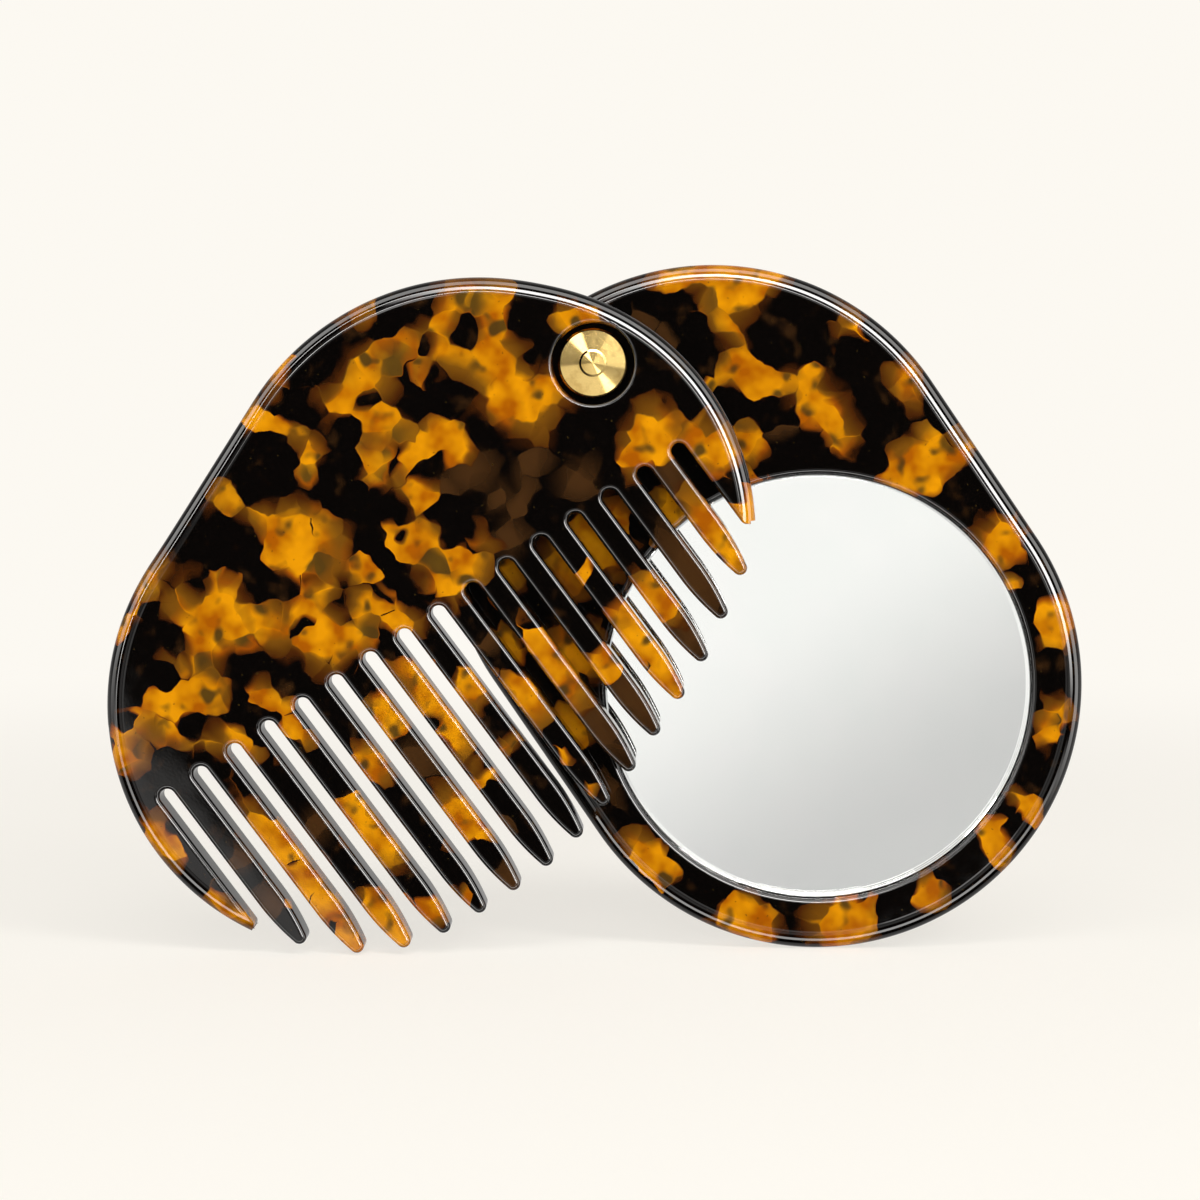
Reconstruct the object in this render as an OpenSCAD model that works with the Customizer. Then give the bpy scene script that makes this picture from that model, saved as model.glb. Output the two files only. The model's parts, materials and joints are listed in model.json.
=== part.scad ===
// Pocket mirror comb: two tortoiseshell acetate plates that swing apart on one brass pivot.
// The front plate is a comb and the rear one holds a round mirror.
// It stands on its edges, opened: +X right, +Y away from the viewer, +Z up.

/* [Plates] */
// Length of both plates along their long axis
plate_length = 101.4; // [94:0.2:125]
// Width of both plates, which is also the diameter of their round ends
plate_width = 74.8; // [70:0.2:84]
// Thickness of the comb plate
comb_thickness = 5; // [4.4:0.1:8]
// Thickness of the mirror plate
frame_thickness = 5.6; // [5:0.1:9]
// How far the soft rounding of the outer edges reaches in over the faces
edge_reach = 2.6; // [0.6:0.1:4]
// How far that rounding reaches into the thickness
edge_depth = 1.8; // [0.4:0.1:2.1]

/* [Stance] */
// Angle of the mirror plate's long axis below the horizontal
frame_tilt = 55.7; // [50:0.1:70]
// Angle that the comb is swung away from the mirror plate
comb_swing = 66.9; // [50:0.1:90]

/* [Comb] */
// How much tighter than the round end the comb's outline turns where it swells beside the pivot
swell_tighter = 2.6; // [1.6:0.1:2.8]
// How far the middle of that turn lies out beyond the round end's middle, along the long axis
swell_x = 3.6; // [3.2:0.1:4.2]
// How far it lies from the long axis, on the side of the teeth
swell_y = 2.1; // [1.8:0.1:2.8]
// How much tighter than the round end the outline turns along the outer tooth
outer_tighter = 2.4; // [1.6:0.1:2.4]
// How far the middle of that turn lies out beyond the round end's middle, along the long axis
outer_x = 1.8; // [0.8:0.1:2.2]
// How far it lies from the long axis, on the side of the comb's back
outer_y = 2.4; // [2.3:0.1:3]
// Number of slots in the comb
slot_count = 16; // [6:1:16]
// Distance between the slots, measured along the line of their round ends
slot_pitch = 5.77; // [4.6:0.01:5.9]
// Width of a slot between two teeth
slot_width = 2.2; // [1.2:0.1:2.8]
// Rounding of the slots' lips
slot_lip = 0.7; // [0.1:0.05:0.85]
// Angle between the line of the slots' round ends and the plate's long axis
root_angle = 23.3; // [18:0.1:28]
// Distance of that line from the plate's centre, towards the comb's back
root_offset = 1; // [0:0.1:4]
// Distance of the row's middle from the plate's centre, towards the far end
root_shift = 0.5; // [-0.5:0.05:1]
// Angle that the teeth lean away from square to that line
tooth_lean = 2.5; // [0:0.1:6]
// Distance of the teeth's tips from the plate's outline
tip_inset = 2.3; // [2:0.1:4]
// How much further in the tips lie where the teeth are longest
tip_sag = 2.9; // [0:0.1:3.4]
// How much nearer to the outline the last tip beside the pivot lies
tip_run_out = 2; // [0:0.1:2]
// Length over which a tooth narrows towards its tip
tip_length = 8; // [5:0.1:12]
// Radius of a tooth's tip
tip_radius = 1; // [0.4:0.05:1.2]
// Radius of the tip of the outer tooth
outer_tip_r = 0.6; // [0.5:0.05:1.2]
// Radius of the tip of the beak beside the pivot
beak_tip_r = 1.1; // [0.5:0.05:1.2]

/* [Mirror] */
// Diameter of the mirror glass
glass_d = 60; // [40:0.5:62]
// Thickness of the mirror glass
glass_t = 2; // [1:0.1:2.2]
// Depth of the glass below the mirror plate's face
glass_recess = 0.8; // [0.3:0.05:1]
// Gap between the glass and the wall of its pocket
glass_clearance = 0.15; // [0.05:0.05:0.4]
// Rounding of the pocket's mouth
pocket_lip = 0.8; // [0.2:0.05:1]
// Thickness of the silver film
silvering_t = 0.05; // [0.02:0.01:0.1]
// Thickness of the protective paint
paint_t = 0.1; // [0.05:0.01:0.2]
// Thickness of the adhesive pad
adhesive_t = 0.25; // [0.1:0.05:0.4]
// Width of the bare rim that the adhesive pad leaves round the glass
adhesive_margin = 2; // [0.5:0.5:6]

/* [Pivot] */
// Distance from the pivot's axis to the near end of the mirror plate
frame_pivot_inset = 8.5; // [7.5:0.1:12]
// How much nearer the pivot lies to that end of the comb
pivot_shift = 1.2; // [0:0.1:1.5]
// Distance of the pivot's axis from the plates' long axis, towards the comb's back
pivot_offset = 0.4; // [0:0.05:3]
// Gap between the two plates
plate_gap = 0.4; // [0.2:0.05:0.6]
// Diameter of the brass barrel that the comb turns on
barrel_d = 4; // [3.4:0.1:5]
// Gap round the barrel in the comb's bore
running_clearance = 0.04; // [0.02:0.01:0.1]
// Gap round the barrel in the mirror plate's bore
seat_clearance = 0.02; // [0.01:0.01:0.05]
// Play between the faces that slide on each other
face_play = 0.02; // [0.01:0.01:0.05]
// Diameter of the brass head
head_d = 9.6; // [8:0.1:10.4]
// Thickness of the head at its rim
head_rim_t = 1; // [0.6:0.05:1.2]
// Height of the head's shallow cone above its rim
head_cone = 0.4; // [0.1:0.05:0.5]
// Width of the bevel round the head's rim
head_bevel = 0.2; // [0.1:0.05:0.4]
// Width of the flat land between the cone and the bevel
head_land = 0.1; // [0.05:0.05:0.4]
// Radius of the small flat in the middle of the head
head_flat_r = 1.6; // [0.5:0.1:2.5]
// Depth of the top of the head below the comb's face
head_recess = 0.05; // [0:0.05:0.3]
// Gap between the head and the wall of its counterbore
head_clearance = 0.9; // [0.3:0.05:1.1]
// Rounding of the counterbore's lip
counterbore_lip = 0.5; // [0.1:0.05:0.7]
// Height of the disc spring under the head
spring_h = 0.45; // [0.35:0.05:0.6]
// Thickness of the disc spring's metal
spring_t = 0.25; // [0.1:0.05:0.3]
// Diameter of the disc spring
spring_d = 8.2; // [7:0.1:9]
// Thickness of the washers
washer_t = 0.4; // [0.2:0.05:0.5]
// Diameter of the washer under the spring
front_washer_d = 9; // [8:0.1:10]
// Diameter of the washer between the plates
plate_washer_d = 12; // [8:0.5:14]
// Gap round the barrel in the washers
washer_clearance = 0.15; // [0.05:0.05:0.3]

/* [Screw] */
// Diameter of the screw's shank
screw_d = 2.5; // [2:0.1:2.8]
// Gap round the shank in the barrel
thread_clearance = 0.02; // [0.01:0.01:0.05]
// Length of the shank inside the barrel
screw_grip = 4; // [2:0.1:5]
// Diameter of the screw's head
screw_head_d = 8; // [6:0.1:10]
// Thickness of the screw's head
screw_head_t = 1.1; // [0.8:0.05:1.3]
// Depth of the screw's head below the back of the mirror plate
screw_recess = 0.3; // [0.1:0.05:0.5]
// Gap between the screw's head and the wall of its counterbore
screw_clearance = 0.4; // [0.2:0.05:1]
// Width of the slot in the screw's head
drive_w = 0.9; // [0.6:0.05:1.2]
// Depth of the slot in the screw's head
drive_t = 0.5; // [0.3:0.05:0.6]
// Length that the barrel stops short of the rear washer
barrel_short = 0.2; // [0.1:0.05:0.4]
// Length of the drilled hole beyond the end of the shank
drill_spare = 1; // [0.5:0.1:1.5]

/* [Hidden] */
$fn = 128;
past = 1;

// The plates' own frame: the middle of the near round end is the origin, +X runs along the long axis
// to the far end, +Y to the comb's back, and +Z from the front face into the thickness.
end_r = plate_width / 2;
axis_length = plate_length - plate_width;
frame_pivot = [frame_pivot_inset - end_r, pivot_offset];
comb_pivot = frame_pivot - [pivot_shift, 0];
far_middle = [axis_length, 0];

// The comb's own turns: it swells beside the pivot, about swell_middle, and draws in along the outer tooth,
// about outer_middle
swell_r = end_r - swell_tighter;
swell_middle = [-swell_x, -swell_y];
outer_r = end_r - outer_tighter;
outer_middle = far_middle + [outer_x, outer_y];

// Where the plates stand
comb_tilt = frame_tilt + comb_swing;
frame_reach = axis_length - frame_pivot.x;
comb_reach = outer_middle - comb_pivot;
frame_right = frame_reach * cos(frame_tilt) + pivot_offset * sin(frame_tilt) + end_r;
comb_left = comb_reach.x * cos(comb_tilt) - comb_reach.y * sin(comb_tilt) - outer_r;
stand_x = -(frame_right + comb_left) / 2;
stand_z = frame_reach * sin(frame_tilt) - pivot_offset * cos(frame_tilt) + end_r;
total_t = comb_thickness + plate_gap + frame_thickness;
comb_front = -total_t / 2;
frame_front = comb_front + comb_thickness + plate_gap;

// The comb's slots and teeth
root_length = (slot_count - 1) * slot_pitch;
root_dir = [cos(root_angle), sin(root_angle)];
back_dir = [-sin(root_angle), cos(root_angle)];
tooth_angle = root_angle - 90 - tooth_lean;
tooth_dir = [cos(tooth_angle), sin(tooth_angle)];
slot_r = slot_width / 2;
root_end = far_middle / 2 + [root_shift, 0] + root_offset * back_dir + root_length / 2 * root_dir;
tooth_pitch = slot_pitch * cos(tooth_lean);
tooth_w = tooth_pitch - slot_width;

// A tooth narrows along two arcs of this radius, which run into the round of its tip
taper_length = tip_length - tip_radius;
taper_r = (taper_length * taper_length + tooth_w * tooth_w / 4 - tip_radius * tip_radius)
    / (tooth_w - 2 * tip_radius);

// The tips draw in most at sag_place along the row, within sag_spread of it. The last few run out towards
// the outline by this power of their place.
sag_place = 0.38;
sag_spread = 0.18;
run_out_power = 20;

// Levels of the pivot's pieces: the first four from the comb's face, the others from the mirror plate's
rim_level = head_recess + head_cone;
spring_level = rim_level + head_rim_t;
front_washer_level = spring_level + spring_h;
counterbore_depth = front_washer_level + washer_t + face_play;
rear_pocket = screw_recess + screw_head_t + washer_t;
rear_washer_level = frame_thickness - rear_pocket;
barrel_end = rear_washer_level - barrel_short;
screw_level = rear_washer_level + washer_t;
barrel_length = comb_thickness + plate_gap + barrel_end - spring_level;
drill_depth = min(barrel_length, screw_grip + drill_spare);

// Levels of the mirror's layers from the mirror plate's face
silvering_level = glass_recess + glass_t;
paint_level = silvering_level + silvering_t;
adhesive_level = paint_level + paint_t;
pocket_depth = adhesive_level + adhesive_t;
pocket_r = glass_d / 2 + glass_clearance;

acetate = "#4a2a0e";
acetate_light = "#c8800f";
brass = "#d8b25a";
nylon = "#e8e4da";
steel = "#b4b7ba";

// Sets a plate's own frame up in the stance, turned about its pivot, with its front face at the given depth
module stand(tilt, pivot, front) {
    translate([stand_x, front, stand_z])
        rotate([0, tilt, 0])
            rotate([-90, 0, 0])
                translate([-pivot.x, -pivot.y, 0])
                    children();
}

// Sets a piece of the pivot on its axis, which runs back along +Z from the given depth
module on_pivot(front) {
    translate([stand_x, front, stand_z])
        rotate([-90, 0, 0])
            children();
}

// The soft edge of a plate, from its front face round to its back face, for an outline at radius r
function edge_profile(r, t, steps = 6) = concat(
    [for (k = [0:steps]) let (a = 90 * k / steps)
        [r - edge_reach + edge_reach * sin(a), edge_depth - edge_depth * cos(a)]],
    [for (k = [0:steps]) let (a = 90 * k / steps)
        [r - edge_reach + edge_reach * cos(a), t - edge_depth + edge_depth * sin(a)]]
);

function mirrored(points) = [for (k = [len(points) - 1:-1:0]) [-points[k].x, points[k].y]];

function round_profile(r, t) = concat([[0, 0]], edge_profile(r, t), [[0, t]]);

// The section of a hole of radius r from its axis out, with a rounded lip at the front face
function mouth_profile(r, lip, depth, steps = 5) = concat(
    [[0, -past], [r + lip, -past]],
    [for (k = [0:steps]) let (a = 90 * k / steps) [r + lip - lip * sin(a), lip - lip * cos(a)]],
    [[r, depth], [0, depth]]
);

// A round hole with a rounded lip at the front face
module mouth(r, lip, depth) {
    rotate_extrude()
        polygon(mouth_profile(r, lip, depth));
}

// Half of a slot's section, with rounded lips at both faces
function slot_profile(steps = 4) = concat(
    [[0, -past], [slot_r + slot_lip, -past]],
    [for (k = [0:steps]) let (a = 90 * k / steps)
        [slot_r + slot_lip - slot_lip * sin(a), slot_lip - slot_lip * cos(a)]],
    [for (k = [0:steps]) let (a = 90 * k / steps)
        [slot_r + slot_lip - slot_lip * cos(a), comb_thickness - slot_lip + slot_lip * sin(a)]],
    [[slot_r + slot_lip, comb_thickness + past], [0, comb_thickness + past]]
);

// A slot from the middle of its round end along +X
module slot() {
    profile = slot_profile();
    rotate_extrude()
        polygon(profile);
    rotate([90, 0, 90])
        linear_extrude(plate_width)
            polygon(concat(profile, mirrored(profile)));
}

// Middle of the round end of slot k, and of the tooth before it, counted from the far end of the plate
function slot_root(k) = root_end - k * slot_pitch * root_dir;
function tooth_root(k) = slot_root(k - 0.5);

// Distance of tip k from the outline
function inset_at(k) = let (place = k / (slot_count - 1))
    tip_inset + tip_sag * exp(-pow((place - sag_place) / sag_spread, 2))
    - tip_run_out * pow(place, run_out_power);

// Distance from p along the teeth to a round end of radius r about the point c
function reach_round(p, c, r) = let (d = p - c, along = d * tooth_dir)
    -along + sqrt(max(0, along * along - d * d + r * r));

// Distance from p along the teeth to the plate's outline moved in by the inset
function reach_edge(p, inset) = let (
    r = end_r - inset,
    s = -(r + p.y) / tooth_dir.y,
    x = p.x + s * tooth_dir.x
) x > axis_length ? reach_round(p, far_middle, r) : x < 0 ? reach_round(p, [0, 0], r) : s;

// The narrowing end of a tooth that reaches the given distance along +X
module taper(reach) {
    start = reach - tip_length;
    stop = tip_radius * taper_length / (taper_r - tip_radius);
    intersection() {
        translate([start, taper_r - tooth_w / 2])
            circle(taper_r);
        translate([start, tooth_w / 2 - taper_r])
            circle(taper_r);
        translate([start - past, -tooth_w])
            square([taper_length + past + stop, 2 * tooth_w]);
    }
    translate([reach - tip_radius, 0])
        circle(tip_radius);
}

// What is cut away round the tip of tooth k
module tip_cut(k) {
    root = tooth_root(k);
    reach = reach_edge(root, inset_at(k));
    translate([root.x, root.y])
        rotate(tooth_angle)
            difference() {
                translate([reach - tip_length, -tooth_pitch / 2])
                    square([tip_length + plate_width, tooth_pitch]);
                taper(reach);
            }
}

// What is cut away at the end of the row, where slot k runs out through an arc of the outline: the point
// between them gets a round tip. The side is 1 at the far end and -1 beside the pivot.
module point_cut(k, side, middle, r, tip_r) {
    across = side * [-tooth_dir.y, tooth_dir.x];
    edge = slot_root(k) + slot_r * across;
    inside = edge + tip_r * across;
    tip = inside + reach_round(inside, middle, r - tip_r) * tooth_dir;
    outward = (tip - middle) / norm(tip - middle);
    corner = edge + (reach_round(edge, middle, r) + past) * tooth_dir;
    difference() {
        polygon([
            tip, tip - (tip_r + slot_r) * across, corner - slot_r * across, corner + 2 * past * outward,
            tip + (tip_r + 2 * past) * outward
        ]);
        translate([tip.x, tip.y])
            circle(tip_r);
    }
}

// A plate before it is cut: a straight stretch between two round ends
module blank(t) {
    profile = edge_profile(end_r, t);
    for (end = [0, 1])
        translate([end * axis_length, 0, 0])
            rotate([0, 0, end ? -90 : 90])
                rotate_extrude(angle = 180)
                    polygon(round_profile(end_r, t));
    rotate([90, 0, 90])
        linear_extrude(axis_length)
            polygon(concat(profile, mirrored(profile)));
}

// A round disc with the plates' soft edge
module disc(middle, r, t) {
    translate([middle.x, middle.y, 0])
        rotate_extrude()
            polygon(round_profile(r, t));
}

// The comb before its slots are cut. Beyond the middle line of slot 0 only the outer tooth's disc is left.
module comb_blank() {
    difference() {
        blank(comb_thickness);
        translate([slot_root(0).x, slot_root(0).y, -past])
            rotate([0, 0, tooth_angle])
                translate([-plate_length, 0, 0])
                    cube([2 * plate_length, plate_length, comb_thickness + 2 * past]);
    }
    disc(outer_middle, outer_r, comb_thickness);
    disc(swell_middle, swell_r, comb_thickness);
}

module comb_plate() {
    color(acetate_light)
        stand(comb_tilt, comb_pivot, comb_front)
            difference() {
                comb_blank();
                for (k = [0:slot_count - 1])
                    translate([slot_root(k).x, slot_root(k).y, 0])
                        rotate([0, 0, tooth_angle])
                            slot();
                translate([0, 0, -past])
                    linear_extrude(comb_thickness + 2 * past) {
                        for (k = [1:slot_count - 1])
                            tip_cut(k);
                        point_cut(0, 1, outer_middle, outer_r, outer_tip_r);
                        point_cut(slot_count - 1, -1, swell_middle, swell_r, beak_tip_r);
                    }
                translate([comb_pivot.x, comb_pivot.y, 0]) {
                    mouth(head_d / 2 + head_clearance, counterbore_lip, counterbore_depth);
                    cylinder(r = barrel_d / 2 + running_clearance, h = comb_thickness + past);
                }
            }
}

module mirror_frame() {
    color(acetate)
        stand(frame_tilt, frame_pivot, frame_front)
            difference() {
                blank(frame_thickness);
                translate([axis_length, 0, 0])
                    mouth(pocket_r, pocket_lip, pocket_depth);
                translate([frame_pivot.x, frame_pivot.y, -past])
                    cylinder(r = barrel_d / 2 + seat_clearance, h = frame_thickness + 2 * past);
                translate([frame_pivot.x, frame_pivot.y, rear_washer_level])
                    cylinder(r = screw_head_d / 2 + screw_clearance, h = rear_pocket + past);
            }
}

// A round layer of the mirror, at its level below the mirror plate's face
module mirror_layer(level, d, t) {
    stand(frame_tilt, frame_pivot, frame_front)
        translate([axis_length, 0, level])
            cylinder(d = d, h = t);
}

module mirror_glass() {
    color("#dfe6ea")
        mirror_layer(glass_recess, glass_d, glass_t);
}

module mirror_silvering() {
    color("#c9ccd0")
        mirror_layer(silvering_level, glass_d, silvering_t);
}

module mirror_backing_paint() {
    color("#6b6f73")
        mirror_layer(paint_level, glass_d, paint_t);
}

module mirror_adhesive() {
    color(nylon)
        mirror_layer(adhesive_level, glass_d - 2 * adhesive_margin, adhesive_t);
}

// The brass head, a shallow cone with a small flat, and the barrel behind it
module pivot_post() {
    head_r = head_d / 2;
    cone_r = head_r - head_bevel - head_land;
    drill_r = screw_d / 2 + thread_clearance;
    drill_level = spring_level + barrel_length - drill_depth;
    color(brass)
        on_pivot(comb_front)
            rotate_extrude()
                polygon([
                    [0, head_recess], [head_flat_r, head_recess], [cone_r, rim_level],
                    [head_r - head_bevel, rim_level], [head_r, rim_level + head_bevel],
                    [head_r, spring_level], [barrel_d / 2, spring_level],
                    [barrel_d / 2, spring_level + barrel_length],
                    [drill_r, spring_level + barrel_length], [drill_r, drill_level], [0, drill_level]
                ]);
}

// A disc spring that touches the head at its inner edge and the washer at its outer edge
module spring_washer() {
    inner_r = barrel_d / 2 + washer_clearance;
    color(steel)
        on_pivot(comb_front + spring_level)
            rotate_extrude()
                polygon([
                    [inner_r, 0], [spring_d / 2, spring_h - spring_t],
                    [spring_d / 2, spring_h], [inner_r, spring_t]
                ]);
}

// A flat washer on the pivot's axis, with its front face at the given depth
module washer(front, d, hole_r, t) {
    on_pivot(front)
        difference() {
            cylinder(d = d, h = t);
            translate([0, 0, -past])
                cylinder(r = hole_r, h = t + 2 * past);
        }
}

module front_washer() {
    color(nylon)
        washer(comb_front + front_washer_level, front_washer_d, barrel_d / 2 + washer_clearance, washer_t);
}

module plate_washer() {
    color(nylon)
        washer(comb_front + comb_thickness + face_play, plate_washer_d,
            barrel_d / 2 + washer_clearance, plate_gap - face_play);
}

module rear_washer() {
    color(steel)
        washer(frame_front + rear_washer_level, screw_head_d, screw_d / 2 + washer_clearance, washer_t);
}

module pivot_screw() {
    shank_length = screw_grip + barrel_short + washer_t;
    color(brass)
        on_pivot(frame_front + screw_level)
            difference() {
                union() {
                    cylinder(d = screw_head_d, h = screw_head_t);
                    translate([0, 0, -shank_length])
                        cylinder(d = screw_d, h = shank_length + past / 2);
                }
                rotate([0, 0, frame_tilt])
                    translate([-screw_head_d, -drive_w / 2, screw_head_t - drive_t])
                        cube([2 * screw_head_d, drive_w, drive_t + past]);
            }
}

comb_plate();
mirror_frame();
mirror_glass();
mirror_silvering();
mirror_backing_paint();
mirror_adhesive();
pivot_post();
spring_washer();
front_washer();
plate_washer();
rear_washer();
pivot_screw();
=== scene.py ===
# The looks of the pocket mirror comb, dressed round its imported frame. Metres, +X right, +Y away, +Z up.
import bmesh
import bpy
import json
import math
from mathutils import Matrix, Vector


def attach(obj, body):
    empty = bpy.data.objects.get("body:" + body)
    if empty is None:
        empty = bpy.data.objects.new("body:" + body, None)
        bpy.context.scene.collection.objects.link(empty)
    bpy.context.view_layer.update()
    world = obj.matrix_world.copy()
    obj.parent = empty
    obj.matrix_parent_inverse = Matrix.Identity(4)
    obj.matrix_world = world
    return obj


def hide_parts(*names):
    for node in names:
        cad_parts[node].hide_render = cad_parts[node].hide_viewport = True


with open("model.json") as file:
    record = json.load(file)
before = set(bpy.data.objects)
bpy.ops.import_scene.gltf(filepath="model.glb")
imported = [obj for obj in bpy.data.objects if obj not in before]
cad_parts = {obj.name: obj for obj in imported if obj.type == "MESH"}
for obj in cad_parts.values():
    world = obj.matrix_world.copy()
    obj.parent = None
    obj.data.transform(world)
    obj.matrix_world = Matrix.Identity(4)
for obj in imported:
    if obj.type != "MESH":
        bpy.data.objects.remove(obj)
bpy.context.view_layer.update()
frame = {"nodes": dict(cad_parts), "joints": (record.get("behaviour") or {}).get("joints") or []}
mm = 0.001

# The plates are modelled flat in millimetres, in their own frame: the middle of the near round end is the
# origin, X runs to the far end, Y to the comb's back and Z from the front face into the thickness.
plates = {
    "endRadius": 37.4,
    "axisLength": 26.6,
    "edgeReach": 2.6,  # the softly rounded edge, in from the wall
    "edgeDepth": 1.8,  # and down from the face
    "edgeSteps": 10,
    "outlineSteps": 360,
    "holeSteps": 96,
    "holeLipSteps": 8,
    "overcut": 1,  # how far cutters run past the plates
    "smoothAngle": 40,
    "merge": 1e-4,  # corners nearer than this are one
}
stance = {
    "frameTilt": 55.7,
    "combSwing": 66.9,
    "framePivot": (-28.9, 0.4),
    "combPivot": (-30.1, 0.4),
}
pivotPoint = Vector(frame["joints"][0]["pos_m"])


def chooseOnly(piece):
    if bpy.context.object and bpy.context.object.mode != "OBJECT":
        bpy.ops.object.mode_set(mode="OBJECT")
    bpy.ops.object.select_all(action="DESELECT")
    piece.select_set(True)
    bpy.context.view_layer.objects.active = piece


def evenNormals():
    bpy.ops.mesh.select_all(action="SELECT")
    bpy.ops.mesh.normals_make_consistent(inside=False)


def addOutline(name, points, level):
    # a filled circle whose corners are set out along the outline, left in edit mode with its face selected
    bpy.ops.object.select_all(action="DESELECT")
    bpy.ops.mesh.primitive_circle_add(vertices=len(points), radius=1, fill_type="NGON")
    piece = bpy.context.object
    piece.name = name
    bpy.ops.object.mode_set(mode="EDIT")
    bpy.ops.mesh.select_mode(type="FACE")
    mesh = bmesh.from_edit_mesh(piece.data)
    mesh.verts.ensure_lookup_table()
    for corner, (x, y) in zip(mesh.verts, points):
        corner.co = (x, y, level)
    bmesh.update_edit_mesh(piece.data)
    evenNormals()
    return piece


def turnOutline(piece, way):
    # makes the outline's one face look up where way is 1, and down where it is -1
    face = bmesh.from_edit_mesh(piece.data).faces[:][0]
    if face.normal.z * way < 0:
        bpy.ops.mesh.flip_normals()


def chooseCap(piece, level):
    mesh = bmesh.from_edit_mesh(piece.data)
    bpy.ops.mesh.select_all(action="DESELECT")
    for face in mesh.faces:
        if abs(face.calc_center_median().z - level) < plates["merge"] and abs(face.normal.z) > 0.99:
            face.select_set(True)
    bmesh.update_edit_mesh(piece.data)


def pullUp(height):
    bpy.ops.mesh.extrude_region_move(TRANSFORM_OT_translate={"value": (0, 0, height)})


def stepIn(profile):
    # profile holds how far in and how far out each ring lies from the one before it
    for inward, outward in profile:
        bpy.ops.mesh.inset(thickness=inward, depth=outward, use_even_offset=True, use_boundary=True)


def quarterSteps(steps):
    # a quarter of a circle as steps, each from one angle to the next
    turns = [math.pi / 2 * k / steps for k in range(steps + 1)]
    return zip(turns, turns[1:])


def softEdge(reach, depth, steps):
    # from the wall round to the face
    return [
        (reach * (math.cos(a) - math.cos(b)), depth * (math.sin(b) - math.sin(a)))
        for a, b in quarterSteps(steps)
    ]


def flare(lip, steps):
    # from the face round to the wall of a hole
    return [
        (lip * (math.sin(b) - math.sin(a)), lip * (math.cos(a) - math.cos(b)))
        for a, b in quarterSteps(steps)
    ]


def plateBlank(name, outline, thickness):
    depth = plates["edgeDepth"]
    piece = addOutline(name, outline, depth)
    pullUp(thickness - 2 * depth)
    evenNormals()
    for level in (thickness - depth, depth):
        chooseCap(piece, level)
        stepIn(softEdge(plates["edgeReach"], depth, plates["edgeSteps"]))
    evenNormals()
    bpy.ops.object.mode_set(mode="OBJECT")
    return piece


def cutAway(piece, cutter):
    chooseOnly(piece)
    cut = piece.modifiers.new("cut", "BOOLEAN")
    cut.operation = "DIFFERENCE"
    cut.solver = "MANIFOLD"
    cut.object = cutter
    bpy.ops.object.modifier_apply(modifier=cut.name)
    bpy.data.objects.remove(cutter, do_unlink=True)


def arc(middle, radius, start, stop, steps):
    turns = [math.radians(start + (stop - start) * k / steps) for k in range(steps + 1)]
    return [(middle[0] + radius * math.cos(turn), middle[1] + radius * math.sin(turn)) for turn in turns]


def holeCutter(middle, radius, lip, start, stop, lipLevel):
    # a round hole along Z with a rounded lip where it leaves the face at lipLevel
    inward = 1 if stop > start else -1
    rim = arc(middle, radius + lip, 0, 360, plates["holeSteps"])[:-1]
    piece = addOutline("hole_cutter", rim, start)
    turnOutline(piece, inward)
    pullUp(lipLevel - start)
    if lip:
        stepIn(flare(lip, plates["holeLipSteps"]))
    pullUp(stop - lipLevel - inward * lip)
    evenNormals()
    bpy.ops.object.mode_set(mode="OBJECT")
    return piece


def polish(piece):
    # smooth rounds beside flat faces
    chooseOnly(piece)
    bpy.ops.object.mode_set(mode="EDIT")
    bpy.ops.mesh.select_all(action="SELECT")
    bpy.ops.mesh.remove_doubles(threshold=plates["merge"])
    evenNormals()
    bpy.ops.object.mode_set(mode="OBJECT")
    bpy.ops.object.shade_smooth_by_angle(angle=math.radians(plates["smoothAngle"]))
    even = piece.modifiers.new("even", "WEIGHTED_NORMAL")
    even.mode = "FACE_AREA"
    even.weight = 50
    even.keep_sharp = True
    bpy.ops.object.modifier_apply(modifier=even.name)


def plateStance(tilt, pivot, front):
    # where a plate's own frame lies in the part's frame
    turn = math.radians(tilt)
    along = Vector((math.cos(turn), 0, -math.sin(turn)))
    back = Vector((-math.sin(turn), 0, -math.cos(turn)))
    depth = Vector((0, 1, 0))
    matrix = Matrix((along, back, depth)).transposed().to_4x4()
    place = pivotPoint + Vector((0, front, 0)) - (along * pivot[0] + back * pivot[1]) * mm
    return Matrix.Translation(place) @ matrix


def standUp(piece, stanceHere):
    # turns the flat plate into its stance, and keeps the place in its mesh
    chooseOnly(piece)
    piece.matrix_world = stanceHere @ Matrix.Scale(mm, 4)
    bpy.ops.object.transform_apply(location=True, rotation=True, scale=True)


print("mirror plate")
mirrorPlate = {
    "thickness": 5.6,
    "front": -0.1 * mm,
    "pocketRadius": 30.15,
    "pocketLip": 0.8,
    "pocketDepth": 3.2,
    "barrelBore": 2.02,
    "screwPocketRadius": 4.4,
    "screwPocketDepth": 1.8,
}


def stadium(count):
    # two round ends with straight sides between them
    points = []
    for end, start in ((plates["axisLength"], -90), (0, 90)):
        points += arc((end, 0), plates["endRadius"], start, start + 180, count // 2 - 1)
    return points


def addMirrorPlate(user):
    over, back = plates["overcut"], user["thickness"]
    piece = plateBlank("mirror_plate", stadium(plates["outlineSteps"]), back)
    far = (plates["axisLength"], 0)
    cutAway(piece, holeCutter(far, user["pocketRadius"], user["pocketLip"], -over, user["pocketDepth"], 0))
    pivot = stance["framePivot"]
    cutAway(piece, holeCutter(pivot, user["barrelBore"], 0, -over, back + over, 0))
    cutAway(piece, holeCutter(
        pivot, user["screwPocketRadius"], 0, back + over, back - user["screwPocketDepth"], back
    ))
    polish(piece)
    standUp(piece, mirrorStance)
    return piece


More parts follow.
